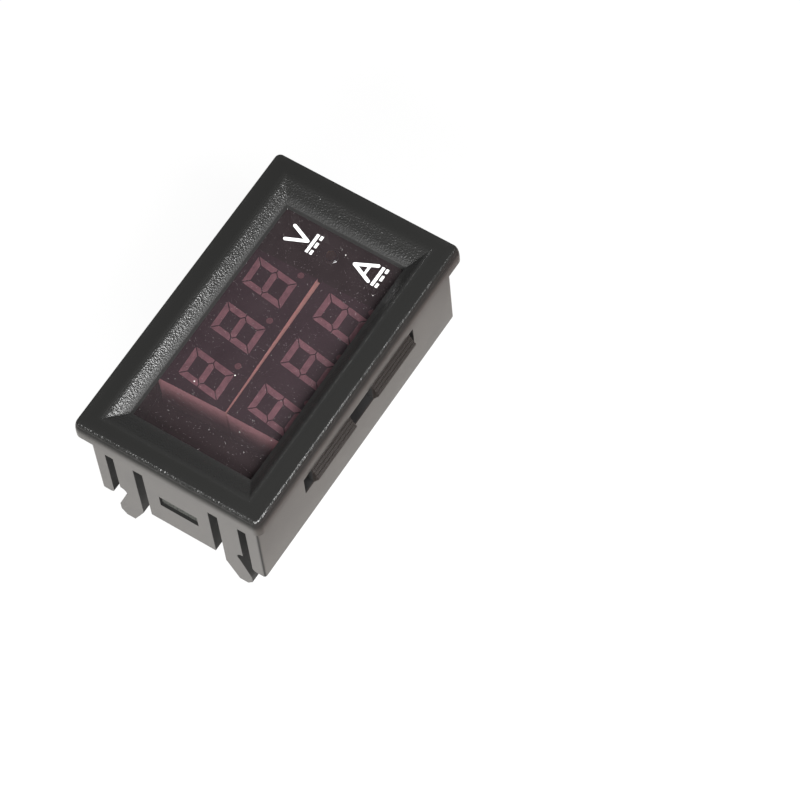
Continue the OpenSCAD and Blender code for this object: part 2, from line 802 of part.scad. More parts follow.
resistor_places = concat(
    beside(volts_trim_at, resistor_by_trimmer), beside(amps_trim_at, resistor_by_trimmer),
    beside(amplifier_at, resistors_by_amplifier), beside(controller_at, resistors_by_controller),
    beside(shunt_at, resistors_by_shunt)
);
capacitor_places = concat(
    beside(amplifier_at, capacitor_by_amplifier), beside(controller_at, capacitors_by_controller),
    beside(shunt_at, capacitors_by_shunt), beside(supply_at, capacitors_by_supply)
);

// Plain blocks of one size on the board's rear
module chip_blocks(places, size) {
    for (p = places)
        on_rear([p[0], p[1]], p[2])
            translate([0, 0, size[2] / 2]) cube(size, center = true);
}

module chip_resistors() {
    color("#1c1c1c") chip_blocks(resistor_places, resistor_size);
}

module chip_capacitors() {
    color("#b59a70") chip_blocks(capacitor_places, capacitor_size);
}

// The shunt: one thick wire bent into a low bridge, its legs through the board
module shunt_bar() {
    leg_x = shunt_span / 2;
    bar_z = shunt_h;
    color("#b87350")
        on_rear(shunt_at)
            union() {
                for (x = [0, 1])
                    mirror([x, 0, 0]) {
                        translate([leg_x, 0, -board_t - pin_through])
                            cylinder(h = board_t + pin_through + bar_z - shunt_bend, r = shunt_r,
                                $fn = round_fn);
                        translate([leg_x - shunt_bend, 0, bar_z - shunt_bend])
                            rotate([90, 0, 0])
                                rotate_extrude(angle = 90, $fn = round_fn)
                                    translate([shunt_bend, 0]) circle(r = shunt_r, $fn = round_fn);
                    }
                translate([0, 0, bar_z])
                    rotate([0, 90, 0])
                        cylinder(h = 2 * (leg_x - shunt_bend), r = shunt_r, center = true,
                            $fn = round_fn);
            }
}

// A trimmer's square base with the round socket of its rotor
module trimmer_base_form() {
    difference() {
        translate([0, 0, trimmer_base[2] / 2]) cube(trimmer_base, center = true);
        translate([0, 0, trimmer_base[2] - rotor_depth])
            cylinder(h = rotor_depth + lap, r = rotor_r + rotor_gap, $fn = round_fn);
    }
}

// A trimmer's rotor: a disc with a screwdriver cross, standing just proud of its base
module trimmer_rotor_form() {
    translate([0, 0, trimmer_base[2] - rotor_depth + rotor_gap])
        difference() {
            cylinder(h = rotor_depth, r = rotor_r, $fn = round_fn);
            for (turn = [0, 90])
                rotate([0, 0, turn])
                    translate([0, 0, rotor_depth])
                        cube([cross_l, cross_w, 2 * cross_depth], center = true);
        }
}

// Three flat feet at a trimmer's edges
module trimmer_feet() {
    out_y = (trimmer_base[1] + trimmer_foot[1]) / 2;
    for (at = [[-trimmer_foot_x, out_y], [trimmer_foot_x, out_y], [0, -out_y]])
        translate([at[0], at[1], trimmer_foot[2] / 2]) cube(trimmer_foot, center = true);
}

module volts_trimmer_base() {
    color("#e8e4d8") on_rear(volts_trim_at) trimmer_base_form();
}

module volts_trimmer_rotor() {
    color("#d8b25c") on_rear(volts_trim_at) trimmer_rotor_form();
}

module amps_trimmer_base() {
    color("#e8e4d8") on_rear(amps_trim_at) trimmer_base_form();
}

module amps_trimmer_rotor() {
    color("#d8b25c") on_rear(amps_trim_at) trimmer_rotor_form();
}

// The load header: an open base with a springy lock wall that has a window and a lip
module load_header() {
    wall_y = load_base[1] / 2 - load_wall_t;
    wall_x = load_base[0] / 2 - load_wall_in;
    lip_z = load_wall_h - load_lip[1];
    color("#efece2")
        on_rear(load_at)
            difference() {
                union() {
                    translate([0, 0, load_base[2] / 2]) cube(load_base, center = true);
                    span([-wall_x, wall_y, 0], [wall_x, load_base[1] / 2, load_wall_h]);
                    translate([0, wall_y, lip_z])
                        rotate([90, 0, 90])
                            linear_extrude(2 * wall_x, center = true)
                                polygon([
                                    [lap, 0], [0, 0], [-load_lip[0], load_lip[1] / 2],
                                    [0, load_lip[1]], [lap, load_lip[1]]
                                ]);
                }
                for (i = [-0.5, 0.5])
                    translate([i * load_pitch, 0, -lap])
                        cylinder(h = load_base[2] + 2 * lap, r = load_pin_r + solder_grip,
                            $fn = small_fn);
                span([-load_base[0] / 4, wall_y - lap, load_base[2] + load_window_gap[0]],
                    [load_base[0] / 4, load_base[1] / 2 + lap, lip_z - load_window_gap[1]]);
            }
}

// A straight pin with a chamfered tip, through the board and off its rear face
module header_pin(r, h) {
    tip = r / 2;
    union() {
        translate([0, 0, -board_t - pin_through])
            cylinder(h = board_t + pin_through + h - tip, r = r, $fn = small_fn);
        translate([0, 0, h - tip]) cylinder(h = tip, r1 = r, r2 = r - tip, $fn = small_fn);
    }
}

module load_header_pins() {
    color("silver")
        for (p = load_pin_places)
            on_rear(p) header_pin(load_pin_r, load_wall_h - load_pin_short);
}

// The supply header: an open shroud with a floor, two keyways and three pins
module supply_header() {
    room = supply_box - [2 * supply_wall, 2 * supply_wall, 0];
    color("#efece2")
        on_rear(supply_at)
            difference() {
                translate([0, 0, supply_box[2] / 2]) cube(supply_box, center = true);
                span([-room[0] / 2, -room[1] / 2, supply_floor],
                    [room[0] / 2, room[1] / 2, room[2] + lap]);
                for (x = [-1, 1])
                    translate([x * supply_pitch, 0, supply_floor + supply_keyway[1]])
                        span([-supply_keyway[0] / 2, room[1] / 2 - lap, 0],
                            [supply_keyway[0] / 2, supply_box[1] / 2 + lap, room[2]]);
                for (i = [-1, 0, 1])
                    translate([i * supply_pitch, 0, -lap])
                        cylinder(h = supply_floor + 2 * lap, r = supply_pin_r + solder_grip,
                            $fn = small_fn);
            }
}

module supply_header_pins() {
    color("silver")
        for (p = supply_pin_places)
            on_rear(p) header_pin(supply_pin_r, supply_box[2] - supply_pin_short);
}

housing();
smoked_window();
volts_display();
volts_segments();
amps_display();
amps_segments();
display_pins();
circuit_board();
solder_joints();
microcontroller();
amplifier_chip();
voltage_regulator();
supply_diode();
chip_leads();
chip_resistors();
chip_capacitors();
shunt_bar();
volts_trimmer_base();
volts_trimmer_rotor();
amps_trimmer_base();
amps_trimmer_rotor();
load_header();
load_header_pins();
supply_header();
supply_header_pins();
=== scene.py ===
"""Looks of the digital panel meter: its moulded housing, smoked window, two displays and board.

Lengths are millimetres until a piece is finished, and MM turns them into the frame's metres.
"""

import math
import random

import bmesh
import bpy
from mathutils import Matrix, Vector


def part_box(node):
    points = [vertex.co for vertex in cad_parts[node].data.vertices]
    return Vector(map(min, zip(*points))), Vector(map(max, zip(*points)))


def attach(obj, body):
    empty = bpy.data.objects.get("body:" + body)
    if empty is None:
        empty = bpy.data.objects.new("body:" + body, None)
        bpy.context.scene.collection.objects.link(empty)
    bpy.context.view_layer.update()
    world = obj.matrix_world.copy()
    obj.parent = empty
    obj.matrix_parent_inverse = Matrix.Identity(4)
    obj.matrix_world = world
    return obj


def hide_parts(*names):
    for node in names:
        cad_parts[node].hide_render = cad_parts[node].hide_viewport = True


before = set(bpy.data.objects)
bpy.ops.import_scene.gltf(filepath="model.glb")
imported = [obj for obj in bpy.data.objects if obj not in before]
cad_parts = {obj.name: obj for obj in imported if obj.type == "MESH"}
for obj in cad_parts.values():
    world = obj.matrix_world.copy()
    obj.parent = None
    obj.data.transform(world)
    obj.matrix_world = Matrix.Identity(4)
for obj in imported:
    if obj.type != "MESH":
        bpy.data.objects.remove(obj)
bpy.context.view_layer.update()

MM = 0.001


# ---------------------------------------------------------------- shader building


class Wire:
    """A shader value that Python's operators build on."""

    def __init__(self, finish, socket):
        self.finish = finish
        self.socket = socket

    def math(self, operation, *values):
        """A Math node on this value and others."""
        inputs = dict(enumerate((self, *values)))
        return self.finish.node("Math", {"operation": operation}, inputs)

    def __add__(self, other):
        return self.math("ADD", other)

    def __sub__(self, other):
        return self.math("SUBTRACT", other)

    def __rsub__(self, other):
        return self * -1 + other

    def __mul__(self, other):
        return self.math("MULTIPLY", other)

    def __truediv__(self, other):
        return self.math("DIVIDE", other)

    def __gt__(self, other):
        return self.math("GREATER_THAN", other)

    def __lt__(self, other):
        return self.math("LESS_THAN", other)

    def __pow__(self, other):
        return self.math("POWER", other)

    def __abs__(self):
        return self.math("ABSOLUTE")

    def larger(self, other):
        """The larger of two values."""
        return self.math("MAXIMUM", other)

    def smaller(self, other):
        """The smaller of two values."""
        return self.math("MINIMUM", other)

    def rises(self, start, end):
        """0 below start and 1 above end, with a straight ramp between."""
        inputs = {0: self, 1: start, 2: end, 3: 0, 4: 1}
        return self.finish.node("MapRange", {"clamp": True}, inputs)

    __radd__ = __add__
    __rmul__ = __mul__


class Finish:
    """A material with one Principled shader, and the few moves that build its pattern."""

    def __init__(self, name, colour, roughness, **sockets):
        self.material = bpy.data.materials.new(name)
        self.material.use_nodes = True
        self.tree = self.material.node_tree
        self.shader = self.tree.nodes["Principled BSDF"]
        self.set("Base Color", (*colour, 1))
        self.set("Roughness", roughness)
        for key, value in sockets.items():
            self.set(key.replace("_", " "), value)

    def feed(self, socket, value):
        """Puts a plain value or a wire into a socket."""
        if isinstance(value, Wire):
            self.tree.links.new(value.socket, socket)
        else:
            socket.default_value = value

    def set(self, key, value):
        """Puts a value or a wire into one of the shader's sockets."""
        self.feed(self.shader.inputs[key], value)

    def node(self, kind, settings=None, inputs=None, output=0):
        """Adds a node with its settings and inputs, and gives the wire of one output."""
        made = self.tree.nodes.new("ShaderNode" + kind)
        for key, value in (settings or {}).items():
            setattr(made, key, value)
        for key, value in (inputs or {}).items():
            self.feed(made.inputs[key], value)
        return Wire(self, made.outputs[output])

    def place(self):
        """The place on the piece, in millimetres, as one vector."""
        metres = self.node("TexCoord", output="Object")
        return self.node("VectorMath", {"operation": "SCALE"}, {0: metres, 3: 1 / MM})

    def parts(self, vector):
        """The three numbers of a vector."""
        outputs = self.node("SeparateXYZ", inputs={0: vector}).socket.node.outputs
        return [Wire(self, out) for out in outputs]

    def noise(self, place, per_mm, detail=2.0, roughness=0.5):
        """Soft noise from 0 to 1, with so many lumps to a millimetre."""
        inputs = {"Vector": place, "Scale": per_mm, "Detail": detail, "Roughness": roughness}
        return self.node("TexNoise", inputs=inputs)

    def cells(self, place, per_mm):
        """Distance to the middle of scattered round cells."""
        return self.node("TexVoronoi", inputs={"Vector": place, "Scale": per_mm})

    def mix(self, share, low, high):
        """A colour that goes from low to high with share."""
        inputs = {0: share, 6: rgba(low), 7: rgba(high)}
        return self.node("Mix", {"data_type": "RGBA"}, inputs, output=2)

    def bump(self, height, depth_mm):
        """Feeds a height from 0 to 1, so many millimetres deep, to the shader's normal."""
        inputs = {"Strength": 1.0, "Distance": depth_mm * MM, "Height": height}
        self.set("Normal", self.node("Bump", inputs=inputs))
        return self


def rgba(colour):
    """A colour with full alpha, or the wire as it is."""
    return colour if isinstance(colour, Wire) else (*colour, 1)


def shade(colour, share):
    """The same colour, lighter or darker."""
    return tuple(c * share for c in colour)


# ---------------------------------------------------------------- places from the frame


def box_mm(node):
    """The lowest and highest corner of a CAD node, in millimetres."""
    low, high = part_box(node)
    return low / MM, high / MM


housing_low, housing_high = box_mm("housing")
board_low, board_high = box_mm("circuit_board")
BEZEL = Vector((housing_high.x - housing_low.x, housing_high.y - housing_low.y))
FACE = housing_high.z
WINDOW_FRONT = box_mm("smoked_window")[1].z
BOARD_REAR = board_low.z
BOARD_FRONT = board_high.z
DISPLAY_FACE = box_mm("volts_display")[1].z
RIM = Vector((2.6, 3.1))
SLOPE = Vector((3.2, 2.0))
SLOPE_DROP = 1.5
OPENING = BEZEL / 2 - RIM - SLOPE
# How far the body's walls stand past the bezel's edge, and the height of the latch windows
WALL_IN = Vector((45.7, 26)) / 2 - BEZEL / 2
LATCHES = (FACE - 11.5, FACE - 7.7)
LATCH_MIDDLE, LATCH_REACH = 0.6, 13.02


def islands(node):
    """The box of each separate solid of a CAD node, in millimetres."""
    bm = bmesh.new()
    bm.from_mesh(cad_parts[node].data)
    bmesh.ops.transform(bm, matrix=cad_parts[node].matrix_world, verts=bm.verts)
    bmesh.ops.remove_doubles(bm, verts=bm.verts, dist=1e-7)
    left = set(bm.verts)
    boxes = []
    while left:
        group, edge_of = set(), [left.pop()]
        while edge_of:
            vert = edge_of.pop()
            group.add(vert)
            for linked in vert.link_edges:
                other = linked.other_vert(vert)
                if other in left:
                    left.discard(other)
                    edge_of.append(other)
        places = [v.co / MM for v in group]
        boxes.append(tuple(Vector(pick(p[i] for p in places) for i in range(3))
                           for pick in (min, max)))
    bm.free()
    return sorted(boxes, key=lambda pair: tuple(round(v, 3) for v in pair[0]))


def centre(low, high):
    """The middle of a box, seen from above."""
    return (low.x + high.x) / 2, (low.y + high.y) / 2


def long_axis(low, high):
    """0 for a box that is longer along X, and 1 along Y."""
    return 0 if (high - low).x > (high - low).y else 1


def end_boxes(low, high, depth):
    """The two boxes that fill the ends of a long box, each so deep."""
    along = long_axis(low, high)
    near_high, far_low = high.copy(), low.copy()
    near_high[along] = low[along] + depth
    far_low[along] = high[along] - depth
    return (low, near_high), (far_low, high)


def decimal_points():
    """The middles of the displays' round decimal points."""
    middles = []
    for node in ("volts_segments", "amps_segments"):
        for low, high in islands(node):
            if (high - low).x < 1 and (high - low).y < 1:
                middles.append((low + high) / 2)
    return middles


# ---------------------------------------------------------------- finishes


def black_moulding():
    """Black plastic: a satin rim, spark-eroded slopes and edges, glossier outer walls, and
    painted shade deep in the latch windows.
    """
    black, worn, brownish, shadow = (
        (0.0105, 0.0105, 0.010), (0.032, 0.029, 0.026), (0.011, 0.008, 0.0065),
        (0.003, 0.003, 0.003))
    satin = 0.28
    f = Finish("black_moulding", black, satin, Coat_Roughness=0.18)
    place = f.place()
    x, y, z = f.parts(place)

    # Where each kind of surface lies, as masks from 0 to 1
    past_x = abs(x) - BEZEL.x / 2
    past_y = abs(y) - BEZEL.y / 2
    past = past_x.larger(past_y)
    front = z.rises(FACE - 0.6, FACE - 0.3)
    inside = (past_x < -RIM.x) * (past_y < -RIM.y)
    slope = inside * (z > FACE - SLOPE_DROP - 0.02) * (1 - z.rises(FACE - 0.3, FACE))
    edge = past.rises(-1.4, -0.6) * front
    below = 1 - z.rises(FACE - 1.6, FACE - 0.9)
    outer = (past_x > WALL_IN.x - 0.05).larger(past_y > WALL_IN.y - 0.05)
    beside = abs(x - LATCH_MIDDLE) < LATCH_REACH
    latches = beside * (z > LATCHES[0]) * (z < LATCHES[1]) * (past_y > WALL_IN.y - 2)
    # The deep parts of the latch windows, which get painted shade
    deep = latches * (past_y < WALL_IN.y - 0.15)
    walls = below * outer * (1 - latches)

    patches = f.noise(place, 0.45, 2.0)
    grain = f.noise(place, 4.0, 1.0) * 1.5 + f.cells(place, 4.2) * 0.9
    fine = f.noise(place, 9.0, 2.0)
    f.bump(grain * (slope * 0.95 + edge * patches * 2.4) + fine * 0.08, 0.042)

    mottle = f.noise(place, 0.22, 3.0)
    skin = f.mix(mottle * walls, black, worn)
    # Painted shade: the latch windows' deep parts turn near black; the scratch on the front wall
    # takes the same black
    darker = f.mix(deep, f.mix(latches, skin, brownish), shadow)
    nick = nick_mask(x, y, z)
    f.set("Base Color", f.mix(nick, darker, shadow))
    dull = latches * 0.18 + deep * 0.4 + below * (1 - outer) * 0.42
    f.set("Roughness", satin + fine * 0.05 + dull)
    f.set("Coat Weight", walls * (1 - nick) * 0.58)
    return f


def nick_mask(x, y, z):
    """A short slanted scratch on the front wall, near its left end."""
    from_middle = x + 20.5
    off_line = abs(z - 15.58 - from_middle * 0.157)
    return (off_line < 0.06) * (abs(from_middle) < 0.62) * (y < -12.9)


def smoked_acrylic():
    """The smoked window: see-through, a little hazed."""
    f = Finish("smoked_acrylic", (0.06, 0.045, 0.05), 0.12, Alpha=0.40, IOR=1.49)
    place = f.place()
    haze = f.noise(place, 0.35, 4.0)
    f.set("Base Color", f.mix(haze, (0.028, 0.021, 0.023), (0.050, 0.038, 0.041)))
    f.set("Roughness", 0.10 + haze * 0.08)
    return f


def display_body():
    """A display's case: a black film on its face, and pale pink sides with painted light near
    the window and painted shade deeper down.
    """
    f = Finish("display_body", (0.06, 0.03, 0.035), 0.45)
    place = f.place()
    z = f.parts(place)[2]
    face = z > DISPLAY_FACE - 0.02
    mottle = f.noise(place, 5.0, 3.0, 0.7)
    film = f.mix(mottle.rises(0.3, 0.7), (0.018, 0.006, 0.013), (0.048, 0.016, 0.034))
    # Painted light and shade: the sides are bright pink near the window and darken with depth,
    # as the light through the window falls off
    painted_light_near_window = z.rises(DISPLAY_FACE - 7, DISPLAY_FACE - 1.5)
    side = f.mix(painted_light_near_window, (0.07, 0.04, 0.04), (1.0, 0.45, 0.50))
    f.set("Base Color", f.mix(face, side, film))
    return f.bump(mottle, 0.01)


def segment_resin():
    """The milky rose resin of the segments, thinner over the decimal points."""
    f = Finish("segment_resin", (0.9, 0.34, 0.42), 0.4)
    place = f.place()
    x, y, _ = f.parts(place)
    nearest = None
    for middle in decimal_points():
        away = ((x - middle.x) ** 2 + (y - middle.y) ** 2) ** 0.5
        nearest = away if nearest is None else nearest.smaller(away)
    cloud = f.noise(place, 1.1, 3.0)
    rose = f.mix(cloud.rises(0.3, 0.7), (0.36, 0.15, 0.19), (0.56, 0.24, 0.29))
    dot = nearest < 0.6
    f.set("Base Color", f.mix(dot, rose, (0.27, 0.105, 0.13)))
    return f.bump(f.noise(place, 6.0), 0.004)


def bright_metal(name, colour, roughness, stain=0.15):
    """Tinned or plated metal with a faintly uneven shine."""
    f = Finish(name, colour, roughness, Metallic=1.0)
    place = f.place()
    cloud = f.noise(place, 2.2, 3.0)
    f.set("Base Color", f.mix(cloud, shade(colour, 1 - 2 * stain), colour))
    f.set("Roughness", roughness + cloud * stain)
    return f.bump(f.noise(place, 7.0), 0.004)


def moulded_part(name, colour, roughness, grain_mm=0.01, per_mm=5.0):
    """A moulded or ceramic part with a fine matt skin."""
    f = Finish(name, colour, roughness)
    place = f.place()
    cloud = f.noise(place, 0.8, 3.0)
    skin = f.noise(place, per_mm, 3.0)
    f.set("Base Color", f.mix(cloud, shade(colour, 0.86), colour))
    f.set("Roughness", roughness + skin * 0.12)
    return f.bump(skin, grain_mm)


def board_mask():
    """Green mask over woven glass, dark at the cut edges and at both ends, and painted dark as
    shade in front, behind the red window.
    """
    f = Finish("board_mask", (0.01, 0.09, 0.035), 0.3, IOR=1.5)
    place = f.place()
    x, _, z = f.parts(place)
    # The cut edges, and the board's ends past 20.7 mm from the middle, take the dark fibre
    # colour
    cut = ((z > BOARD_REAR + 0.06) * (z < BOARD_FRONT - 0.06)).larger(abs(x) > 20.7)
    cloud = f.noise(place, 0.5, 3.0)
    mask = f.mix(cloud, (0.008, 0.075, 0.028), (0.012, 0.11, 0.042))
    layers = f.noise(place, 3.5, 3.0)
    fibre = f.mix(layers.rises(0.4, 0.62), (0.006, 0.007, 0.006), (0.045, 0.047, 0.040))
    # Painted shade: the front face is near black where it lies behind the red window
    front_painted_shade = f.mix(z > BOARD_FRONT - 0.02, mask, (0.013, 0.011, 0.010))
    f.set("Base Color", f.mix(cut, front_painted_shade, fibre))
    f.set("Roughness", 0.28 + cut * 0.4)
    return f.bump(f.noise(place, 1.5, 4.0), 0.006)


def ink(name, colour):
    """Opaque printing ink, or a plain matt crumb."""
    f = Finish(name, colour, 0.5)
    tooth = f.noise(f.place(), 8.0, 2.0)
    f.set("Base Color", f.mix(tooth, shade(colour, 0.94), colour))
    return f.bump(tooth, 0.004)


PLASTIC = black_moulding()
WINDOW = smoked_acrylic()
DISPLAY = display_body()
RESIN = segment_resin()
TIN = bright_metal("tinned_pins", (0.72, 0.71, 0.69), 0.22)
SOLDER = bright_metal("solder", (0.62, 0.62, 0.63), 0.2)
SHUNT = bright_metal("shunt_alloy", (0.66, 0.40, 0.28), 0.28)
BRASS = bright_metal("rotor_brass", (0.78, 0.58, 0.28), 0.3)
BOARD = board_mask()
TRACK = moulded_part("masked_copper", (0.016, 0.15, 0.058), 0.28, 0.004)
CHIP = moulded_part("chip_epoxy", (0.022, 0.022, 0.023), 0.5, 0.012, 9.0)
RESISTOR = moulded_part("resistor_ceramic", (0.02, 0.02, 0.022), 0.3)
CAPACITOR = moulded_part("capacitor_ceramic", (0.42, 0.28, 0.15), 0.45)
NYLON = moulded_part("white_nylon", (0.78, 0.76, 0.70), 0.42)
TRIMMER = moulded_part("trimmer_base", (0.74, 0.71, 0.62), 0.5)
GLUE = moulded_part("display_seam", (0.95, 0.46, 0.42), 0.55)
INK = ink("unit_ink", (0.92, 0.92, 0.92))
SILK = ink("board_ink", (0.72, 0.73, 0.70))
DUST = ink("dust", (0.42, 0.38, 0.39))
GLINT = ink("bright_dust", (0.9, 0.9, 0.88))

CAD_FINISHES = {
    "housing": PLASTIC,
    "smoked_window": WINDOW,
    "volts_display": DISPLAY,
    "amps_display": DISPLAY,
    "volts_segments": RESIN,
    "amps_segments": RESIN,
    "display_pins": TIN,
    "circuit_board": BOARD,
    "solder_joints": SOLDER,
    "microcontroller": CHIP,
    "amplifier_chip": CHIP,
    "voltage_regulator": CHIP,
    "supply_diode": CHIP,
    "chip_leads": TIN,
    "chip_resistors": RESISTOR,
    "chip_capacitors": CAPACITOR,
    "shunt_bar": SHUNT,
    "volts_trimmer_base": TRIMMER,
    "volts_trimmer_rotor": BRASS,
    "amps_trimmer_base": TRIMMER,
    "amps_trimmer_rotor": BRASS,
    "load_header": NYLON,
    "load_header_pins": TIN,
    "supply_header": NYLON,
    "supply_header_pins": TIN,
}
for node_name, finish in CAD_FINISHES.items():
    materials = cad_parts[node_name].data.materials
    materials.clear()
    materials.append(finish.material)


# ---------------------------------------------------------------- making pieces


def piece(name, bm, finish, replaced=()):
    """Turns a bmesh in millimetres into a piece of the housing's body."""
    bmesh.ops.scale(bm, vec=(MM, MM, MM), verts=bm.verts)
    bmesh.ops.recalc_face_normals(bm, faces=bm.faces)
    mesh = bpy.data.meshes.new(name)
    bm.to_mesh(mesh)
    bm.free()
    made = bpy.data.objects.new(name, mesh)
    bpy.context.scene.collection.objects.link(made)
    mesh.materials.append(finish.material)
    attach(made, "root")
    if replaced:
        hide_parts(*replaced)
    return made


def block(bm, low, high):
    """A box between two corners."""
    low, high = Vector(low), Vector(high)
    place = Matrix.Translation((low + high) / 2)
    place @= Matrix.Diagonal((*(high - low), 1))
    return bmesh.ops.create_cube(bm, size=1, matrix=place)["verts"]


def stroke(bm, start, end, width, low, high):
    """A straight flat bar from start to end, between two heights."""
    start, end = Vector(start), Vector(end)
    along = end - start
    turn = math.atan2(along.y, along.x)
    middle = (start + end) / 2
    place = Matrix.Translation((middle.x, middle.y, (low + high) / 2))
    place @= Matrix.Rotation(turn, 4, "Z")
    place @= Matrix.Diagonal((along.length, width, high - low, 1))
    bmesh.ops.create_cube(bm, size=1, matrix=place)


def disc(bm, at, radius, low, high, sides=20):
    """An upright round disc between two heights."""
    place = Matrix.Translation((at[0], at[1], (low + high) / 2))
    bmesh.ops.create_cone(bm, cap_ends=True, segments=sides, radius1=radius, radius2=radius,
                          depth=high - low, matrix=place)


def ring(bm, at, inner, outer, low, high, sides=20):
    """A flat ring between two heights, turned from its section."""
    corners = ((inner, low), (outer, low), (outer, high), (inner, high))
    turned(bm, at, corners, sides)


def turned(bm, at, section, sides=20):
    """A closed section of (radius, height) points, spun round an upright axis."""
    verts = [bm.verts.new((at[0] + radius, at[1], height)) for radius, height in section]
    pairs = zip(verts, verts[1:] + verts[:1])
    edges = [bm.edges.new(pair) for pair in pairs]
    bmesh.ops.spin(bm, geom=verts + edges, cent=(at[0], at[1], 0), axis=(0, 0, 1),
                   dvec=(0, 0, 0), angle=math.tau, steps=sides, use_merge=True,
                   use_duplicate=False)


# ---------------------------------------------------------------- window and displays

STROKE = 0.48


def inked(layer=0):
    """The two heights of a printed stroke. Crossing strokes take layers of their own."""
    return WINDOW_FRONT, WINDOW_FRONT + 0.02 + 0.002 * layer


def direct_current_sign(bm, middle_x, top_y):
    """A solid bar over three dashes."""
    stroke(bm, (middle_x - 1.55, top_y), (middle_x + 1.55, top_y), 0.42, *inked())
    dash_y = top_y - 0.64
    for centre, length in ((-1.22, 0.68), (0.0, 0.84), (1.22, 0.68)):
        at = middle_x + centre
        stroke(bm, (at - length / 2, dash_y), (at + length / 2, dash_y), 0.38, *inked())


def letter(bm, strokes):
    """Straight strokes with round ends, each a hair higher than the one before."""
    for layer, (start, end, width) in enumerate(strokes):
        stroke(bm, start, end, width, *inked(3 * layer))
        disc(bm, start, width / 2, *inked(3 * layer + 1))
        disc(bm, end, width / 2, *inked(3 * layer + 2))


def unit_marks():
    """The printed V and A with their direct current signs, on the window."""
    bm = bmesh.new()
    foot, crown = (15.42, 4.30), (15.70, -2.92)
    letter(bm, ((foot, (14.22, 7.1), STROKE), (foot, (16.56, 7.06), STROKE)))
    letter(bm, ((crown, (14.43, -5.84), STROKE), (crown, (17.05, -5.76), STROKE),
                ((14.95, -4.84), (16.5, -4.84), 0.34)))
    direct_current_sign(bm, 15.47, 3.58)
    direct_current_sign(bm, 15.68, -6.55)
    return piece("unit_marks", bm, INK)


def crumb(bm, x, y, size):
    """One flattened crumb standing on the window."""
    place = Matrix.Translation((x, y, WINDOW_FRONT + size * 0.4))
    place @= Matrix.Diagonal((1, 1, 0.4, 1))
    bmesh.ops.create_icosphere(bm, subdivisions=1, radius=size, matrix=place)


def window_dust():
    """Fine dust on the window."""
    bm = bmesh.new()
    crumbs = random.Random(7)
    for _ in range(1500):
        x = crumbs.uniform(-OPENING.x, OPENING.x)
        y = crumbs.uniform(-OPENING.y, OPENING.y)
        crumb(bm, x, y, 0.014 + 0.022 * crumbs.random() ** 3)
    return piece("window_dust", bm, DUST)


def bright_specks():
    """The few large bright crumbs among the dust."""
    bm = bmesh.new()
    specks = (
        (-6.21, 1.28, 0.10), (-9.64, 5.33, 0.09), (-11.65, -8.01, 0.06), (-12.75, -3.83, 0.05),
        (-14.51, -0.28, 0.04), (-14.89, -5.93, 0.045), (-17.6, -0.65, 0.045),
        (16.21, -1.18, 0.085), (12.94, -7.56, 0.06),
    )
    for x, y, size in specks:
        crumb(bm, x, y, size)
    crumbs = random.Random(11)
    for _ in range(46):
        x = crumbs.uniform(-OPENING.x, OPENING.x)
        y = crumbs.uniform(-OPENING.y, OPENING.y)
        crumb(bm, x, y, crumbs.uniform(0.018, 0.035))
    return piece("bright_specks", bm, GLINT)


def display_seam():
    """The pale strip that shows between the two displays, wider at the right."""
    bm = bmesh.new()
    left, right = -10.98, 11.45
    corners = ((left, -0.52), (right, -0.16), (right, 0.50), (left, -0.27))
    low, high = DISPLAY_FACE - 0.7, DISPLAY_FACE - 0.08
    face = bm.faces.new([bm.verts.new((x, y, low)) for x, y in corners])
    grown = bmesh.ops.extrude_face_region(bm, geom=[face])
    lifted = [item for item in grown["geom"] if isinstance(item, bmesh.types.BMVert)]
    bmesh.ops.translate(bm, vec=(0, 0, high - low), verts=lifted)
    return piece("display_seam", bm, GLUE)


def rod(bm, start, end, radius):
    """A round rod between two points."""
    start, end = Vector(start), Vector(end)
    along = end - start
    place = Matrix.Translation((start + end) / 2)
    place @= along.to_track_quat("Z", "Y").to_matrix().to_4x4()
    bmesh.ops.create_cone(bm, cap_ends=True, segments=16, radius1=radius, radius2=radius,
                          depth=along.length, matrix=place)


def soft_corners():
    """The rounded lip at the foot of the slopes and the soft mitres between them."""
    bm = bmesh.new()
    foot_z = FACE - SLOPE_DROP
    lip_z = foot_z - 0.14
    lip_radius, mitre_radius = 0.17, 0.13
    lip = OPENING + Vector((0.1, 0.1))
    top = OPENING + SLOPE
    for side in (-1, 1):
        rod(bm, (-lip.x, side * lip.y, lip_z), (lip.x, side * lip.y, lip_z), lip_radius)
        rod(bm, (side * lip.x, -lip.y, lip_z), (side * lip.x, lip.y, lip_z), lip_radius)
        for other in (-1, 1):
            low = (side * OPENING.x, other * OPENING.y, foot_z - 0.06)
            rod(bm, low, (side * top.x, other * top.y, FACE - 0.14), mitre_radius)
    return piece("soft_corners", bm, PLASTIC)


unit_marks()
window_dust()
bright_specks()
display_seam()
soft_corners()


# ---------------------------------------------------------------- the board's rear

# The rear faces down, so what stands on it reaches below the board
COPPER = 0.03
ON_REAR = (BOARD_REAR - COPPER, BOARD_REAR)
PRINT = (BOARD_REAR - 0.015, BOARD_REAR)


def chip_with_caps(name, node, finish, cap, swell):
    """Chip parts with a body between two solder caps, in place of a CAD node's plain blocks."""
    bodies, caps = bmesh.new(), bmesh.new()
    for low, high in islands(node):
        along = long_axis(low, high)
        body_low, body_high = low.copy(), high.copy()
        body_low[along] += cap * 0.6
        body_high[along] -= cap * 0.6
        for axis in (1 - along, 2):
            body_low[axis] += swell
        body_high[1 - along] -= swell
        block(bodies, body_low, body_high)
        for cap_low, cap_high in end_boxes(low, high, cap):
            block(caps, cap_low, cap_high)
    for bm in (bodies, caps):
        bmesh.ops.bevel(bm, geom=bm.edges[:], offset=0.04, segments=2, profile=0.5,
                        affect="EDGES", material=-1)
    piece(name, bodies, finish, (node,))
    piece(name + "_caps", caps, TIN)


